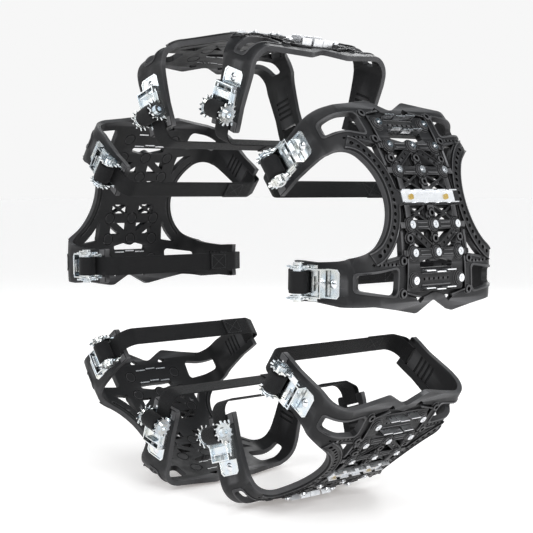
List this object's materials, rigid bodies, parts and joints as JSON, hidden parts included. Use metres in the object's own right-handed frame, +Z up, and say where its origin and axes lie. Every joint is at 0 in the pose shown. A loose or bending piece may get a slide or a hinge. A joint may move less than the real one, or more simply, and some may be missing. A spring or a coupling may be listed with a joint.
{
  "type": "tire snow traction set",
  "caption": "Ring of moulded tread plates with steel cleats and studs, clipped around a car tire by webbing straps that run through the wheel to zinc ratchets",
  "frame": {"origin": "the middle of the wheel, on its axle, halfway between the two sidewalls", "axes": "+Y along the axle, with the ratchets on the outer face of the wheel at -Y; +Z up; one unit is centred on +Z"},
  "size_m": [0.735, 0.3231, 0.7199],
  "materials": {
    "moulded_tpu": "satin moulded polyurethane",
    "webbing": "woven nylon",
    "zinc_plate": "bright zinc plating",
    "cleat_steel": "bright sheet steel",
    "stud_steel": "turned steel",
    "insert_steel": "plain steel",
    "spring_steel": "spring wire",
    "brass": "plain brass"
  },
  "bodies": {
    "tread_units": {"tread_plate_1": "moulded_tpu", "tread_plate_2": "moulded_tpu", "tread_plate_3": "moulded_tpu", "tread_plate_4": "moulded_tpu", "tread_plate_5": "moulded_tpu", "strap_pair_1": "webbing", "strap_pair_2": "webbing", "strap_pair_3": "webbing", "strap_pair_4": "webbing", "strap_pair_5": "webbing", "ratchet_frame_1a": "zinc_plate", "ratchet_frame_1b": "zinc_plate", "ratchet_frame_2a": "zinc_plate", "ratchet_frame_2b": "zinc_plate", "ratchet_frame_3a": "zinc_plate", "ratchet_frame_3b": "zinc_plate", "ratchet_frame_4a": "zinc_plate", "ratchet_frame_4b": "zinc_plate", "ratchet_frame_5a": "zinc_plate", "ratchet_frame_5b": "zinc_plate", "tread_studs": "stud_steel", "end_cleats": "cleat_steel", "centre_channels": "cleat_steel", "channel_screws": "brass", "frame_bolts": "stud_steel", "arm_inserts": "insert_steel", "pawl_springs": "spring_steel"},
    "spool_1a": {"ratchet_spool_1a": "zinc_plate", "strap_roll_1a": "webbing"},
    "pawl_1a": {"pawl_plate_1a": "zinc_plate"},
    "spool_1b": {"ratchet_spool_1b": "zinc_plate", "strap_roll_1b": "webbing"},
    "pawl_1b": {"pawl_plate_1b": "zinc_plate"},
    "spool_2a": {"ratchet_spool_2a": "zinc_plate", "strap_roll_2a": "webbing"},
    "pawl_2a": {"pawl_plate_2a": "zinc_plate"},
    "spool_2b": {"ratchet_spool_2b": "zinc_plate", "strap_roll_2b": "webbing"},
    "pawl_2b": {"pawl_plate_2b": "zinc_plate"},
    "spool_3a": {"ratchet_spool_3a": "zinc_plate", "strap_roll_3a": "webbing"},
    "pawl_3a": {"pawl_plate_3a": "zinc_plate"},
    "spool_3b": {"ratchet_spool_3b": "zinc_plate", "strap_roll_3b": "webbing"},
    "pawl_3b": {"pawl_plate_3b": "zinc_plate"},
    "spool_4a": {"ratchet_spool_4a": "zinc_plate", "strap_roll_4a": "webbing"},
    "pawl_4a": {"pawl_plate_4a": "zinc_plate"},
    "spool_4b": {"ratchet_spool_4b": "zinc_plate", "strap_roll_4b": "webbing"},
    "pawl_4b": {"pawl_plate_4b": "zinc_plate"},
    "spool_5a": {"ratchet_spool_5a": "zinc_plate", "strap_roll_5a": "webbing"},
    "pawl_5a": {"pawl_plate_5a": "zinc_plate"},
    "spool_5b": {"ratchet_spool_5b": "zinc_plate", "strap_roll_5b": "webbing"},
    "pawl_5b": {"pawl_plate_5b": "zinc_plate"}
  },
  "joints": [
    {"name": "spool_turn_1a", "type": "hinge", "parent": "tread_units", "child": "spool_1a", "pos_m": [-0.08107, -0.16, 0.23543], "axis": [0.9455, 0, 0.3256], "continuous": true},
    {"name": "pawl_slide_1a", "type": "slide", "parent": "tread_units", "child": "pawl_1a", "axis": [-0.3256, 0, 0.9455], "range_m": [0, 0.0045], "stiffness_N_per_m": 150, "springref_m": -0.003, "deforming": ["pawl_springs"]},
    {"name": "spool_turn_1b", "type": "hinge", "parent": "tread_units", "child": "spool_1b", "pos_m": [0.08107, -0.16, 0.23543], "axis": [0.9455, 0, -0.3256], "continuous": true},
    {"name": "pawl_slide_1b", "type": "slide", "parent": "tread_units", "child": "pawl_1b", "axis": [0.3256, 0, 0.9455], "range_m": [0, 0.0045], "stiffness_N_per_m": 150, "springref_m": -0.003, "deforming": ["pawl_springs"]},
    {"name": "spool_turn_2a", "type": "hinge", "parent": "tread_units", "child": "spool_2a", "pos_m": [0.19886, -0.16, 0.14985], "axis": [0.6018, 0, -0.7986], "continuous": true},
    {"name": "pawl_slide_2a", "type": "slide", "parent": "tread_units", "child": "pawl_2a", "axis": [0.7986, 0, 0.6018], "range_m": [0, 0.0045], "stiffness_N_per_m": 150, "springref_m": -0.003, "deforming": ["pawl_springs"]},
    {"name": "spool_turn_2b", "type": "hinge", "parent": "tread_units", "child": "spool_2b", "pos_m": [0.24896, -0.16, -0.00435], "axis": [-0.0175, 0, -0.9998], "continuous": true},
    {"name": "pawl_slide_2b", "type": "slide", "parent": "tread_units", "child": "pawl_2b", "axis": [0.9998, 0, -0.0175], "range_m": [0, 0.0045], "stiffness_N_per_m": 150, "springref_m": -0.003, "deforming": ["pawl_springs"]},
    {"name": "spool_turn_3a", "type": "hinge", "parent": "tread_units", "child": "spool_3a", "pos_m": [0.20397, -0.16, -0.14282], "axis": [-0.5736, 0, -0.8192], "continuous": true},
    {"name": "pawl_slide_3a", "type": "slide", "parent": "tread_units", "child": "pawl_3a", "axis": [0.8192, 0, -0.5736], "range_m": [0, 0.0045], "stiffness_N_per_m": 150, "springref_m": -0.003, "deforming": ["pawl_springs"]},
    {"name": "spool_turn_3b", "type": "hinge", "parent": "tread_units", "child": "spool_3b", "pos_m": [0.0728, -0.16, -0.23812], "axis": [-0.9563, 0, -0.2924], "continuous": true},
    {"name": "pawl_slide_3b", "type": "slide", "parent": "tread_units", "child": "pawl_3b", "axis": [0.2924, 0, -0.9563], "range_m": [0, 0.0045], "stiffness_N_per_m": 150, "springref_m": -0.003, "deforming": ["pawl_springs"]},
    {"name": "spool_turn_4a", "type": "hinge", "parent": "tread_units", "child": "spool_4a", "pos_m": [-0.0728, -0.16, -0.23812], "axis": [-0.9563, 0, 0.2924], "continuous": true},
    {"name": "pawl_slide_4a", "type": "slide", "parent": "tread_units", "child": "pawl_4a", "axis": [-0.2924, 0, -0.9563], "range_m": [0, 0.0045], "stiffness_N_per_m": 150, "springref_m": -0.003, "deforming": ["pawl_springs"]},
    {"name": "spool_turn_4b", "type": "hinge", "parent": "tread_units", "child": "spool_4b", "pos_m": [-0.20397, -0.16, -0.14282], "axis": [-0.5736, 0, 0.8192], "continuous": true},
    {"name": "pawl_slide_4b", "type": "slide", "parent": "tread_units", "child": "pawl_4b", "axis": [-0.8192, 0, -0.5736], "range_m": [0, 0.0045], "stiffness_N_per_m": 150, "springref_m": -0.003, "deforming": ["pawl_springs"]},
    {"name": "spool_turn_5a", "type": "hinge", "parent": "tread_units", "child": "spool_5a", "pos_m": [-0.24896, -0.16, -0.00435], "axis": [-0.0175, 0, 0.9998], "continuous": true},
    {"name": "pawl_slide_5a", "type": "slide", "parent": "tread_units", "child": "pawl_5a", "axis": [-0.9998, 0, -0.0175], "range_m": [0, 0.0045], "stiffness_N_per_m": 150, "springref_m": -0.003, "deforming": ["pawl_springs"]},
    {"name": "spool_turn_5b", "type": "hinge", "parent": "tread_units", "child": "spool_5b", "pos_m": [-0.19886, -0.16, 0.14985], "axis": [0.6018, 0, 0.7986], "continuous": true},
    {"name": "pawl_slide_5b", "type": "slide", "parent": "tread_units", "child": "pawl_5b", "axis": [-0.7986, 0, 0.6018], "range_m": [0, 0.0045], "stiffness_N_per_m": 150, "springref_m": -0.003, "deforming": ["pawl_springs"]}
  ]
}
